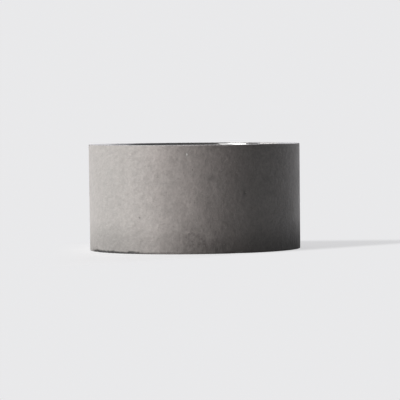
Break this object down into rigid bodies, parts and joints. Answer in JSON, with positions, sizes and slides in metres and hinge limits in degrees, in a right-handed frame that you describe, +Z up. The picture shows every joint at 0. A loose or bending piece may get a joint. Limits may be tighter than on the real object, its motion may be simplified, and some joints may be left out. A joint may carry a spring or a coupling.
{
  "type": "concrete culvert ring",
  "caption": "Short precast concrete ring with a round bore and flat ends, laid end to end or stacked to line a culvert, well or manhole.",
  "frame": {"origin": "middle of the base, on the bore's axis", "axes": "+Z up along the bore's axis; the ring is the same all round, so +X and +Y are any two level directions at right angles"},
  "size_m": [0.9999, 1, 0.5],
  "materials": {
    "concrete": "smooth grey cast concrete, finely mottled, with a dark sealing coat on the face of the bore"
  },
  "bodies": {
    "root": {"concrete_ring": "concrete"}
  },
  "joints": []
}
